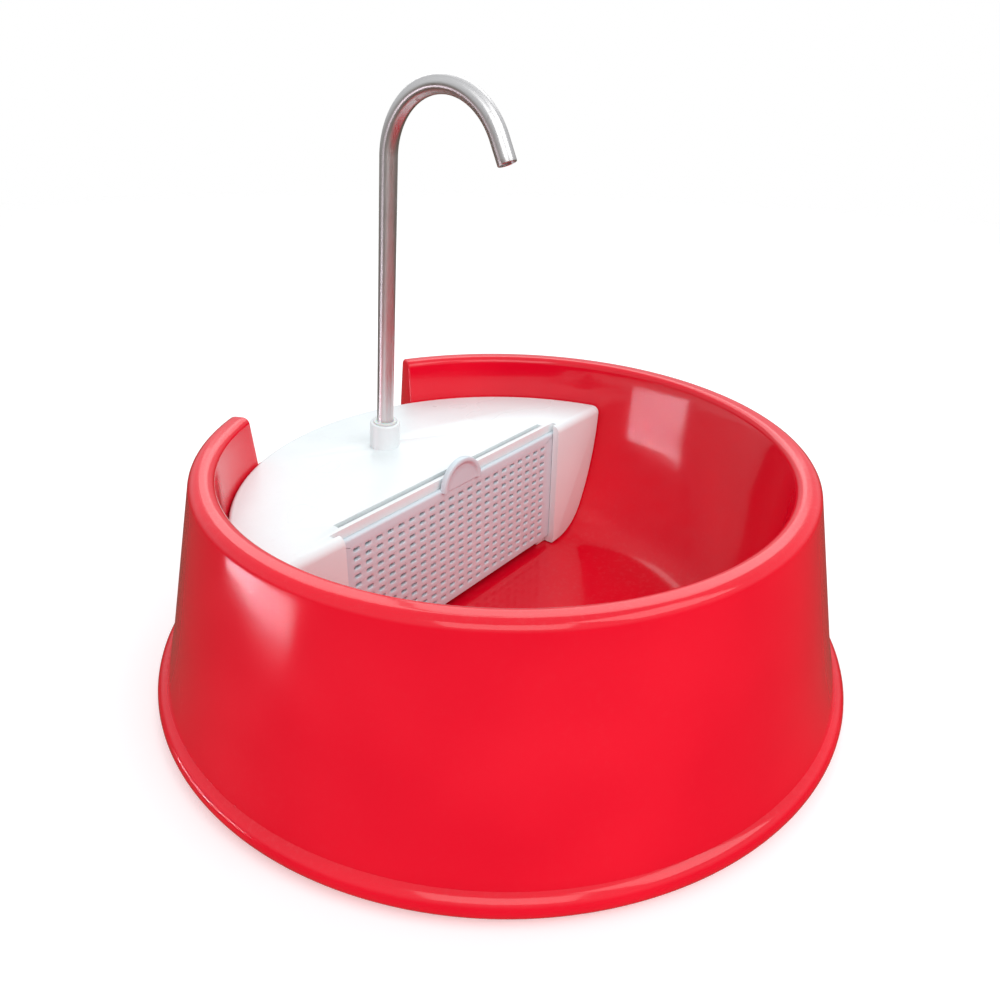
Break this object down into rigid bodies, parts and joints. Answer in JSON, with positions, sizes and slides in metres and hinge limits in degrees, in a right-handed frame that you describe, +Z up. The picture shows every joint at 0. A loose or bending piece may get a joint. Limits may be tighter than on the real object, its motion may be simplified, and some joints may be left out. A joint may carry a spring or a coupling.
{
  "type": "pet drinking fountain",
  "caption": "Round flared pet drinking bowl with a lift-out pump housing, slide-in grille and filter, and a swivelling gooseneck spout.",
  "frame": {"origin": "middle of the base on the floor, under the bowl's centre", "axes": "+Z up; the rim notch and pump housing are at +Y, the drinking side that the grille and the spout face is -Y, +X to the right seen from -Y"},
  "size_m": [0.28, 0.28, 0.2208],
  "materials": {
    "red_plastic": "high gloss moulded",
    "white_plastic": "satin moulded",
    "dark_plastic": "fine textured",
    "steel_tube": "brushed stainless",
    "silicone": "translucent silicone",
    "rubber": "matte",
    "carbon_foam": "open-cell foam",
    "core_iron": "laminated, lacquered",
    "copper": "enamelled wire",
    "ferrite": "sintered, matte"
  },
  "bodies": {
    "bowl": {"bowl": "red_plastic", "foot_pads": "rubber", "suction_cups": "silicone", "pump_case": "dark_plastic", "stator_core": "core_iron", "coil_bobbin": "white_plastic", "coil_winding": "copper", "potting_resin": "dark_plastic", "cable_gland": "rubber", "volute_cover": "dark_plastic", "volute_seal": "rubber", "rotor_shaft": "steel_tube", "shaft_bushes": "rubber"},
    "housing": {"housing": "white_plastic", "spout_seal": "silicone", "feed_hose": "silicone"},
    "grille": {"grille": "white_plastic"},
    "filter": {"filter_frame": "dark_plastic", "carbon_pads": "carbon_foam"},
    "spout": {"spout": "steel_tube"},
    "rotor": {"impeller": "white_plastic", "rotor_magnet": "ferrite"},
    "flow_dial": {"flow_dial": "dark_plastic"},
    "intake_cover": {"intake_cover": "dark_plastic", "intake_foam": "carbon_foam"}
  },
  "joints": [
    {"name": "housing_lift", "type": "slide", "parent": "bowl", "child": "housing", "axis": [0, 0, 1], "range_m": [0, 0.12]},
    {"name": "grille_slide", "type": "slide", "parent": "housing", "child": "grille", "axis": [0, 0, 1], "range_m": [0, 0.062]},
    {"name": "filter_slide", "type": "slide", "parent": "housing", "child": "filter", "axis": [0, 0, 1], "range_m": [0, 0.058]},
    {"name": "spout_swivel", "type": "hinge", "parent": "housing", "child": "spout", "pos_m": [0, 0.068, 0.0704], "axis": [0, -0.0778, 0.997], "continuous": true},
    {"name": "impeller_spin", "type": "hinge", "parent": "bowl", "child": "rotor", "pos_m": [0, 0.061, 0.0235], "axis": [1, 0, 0], "continuous": true},
    {"name": "flow_dial_turn", "type": "hinge", "parent": "bowl", "child": "flow_dial", "pos_m": [-0.008, 0.061, 0.0235], "axis": [1, 0, 0], "range_deg": [0, 60]},
    {"name": "intake_cover_pull", "type": "slide", "parent": "bowl", "child": "intake_cover", "axis": [-1, 0, 0], "range_m": [0, 0.012]}
  ]
}
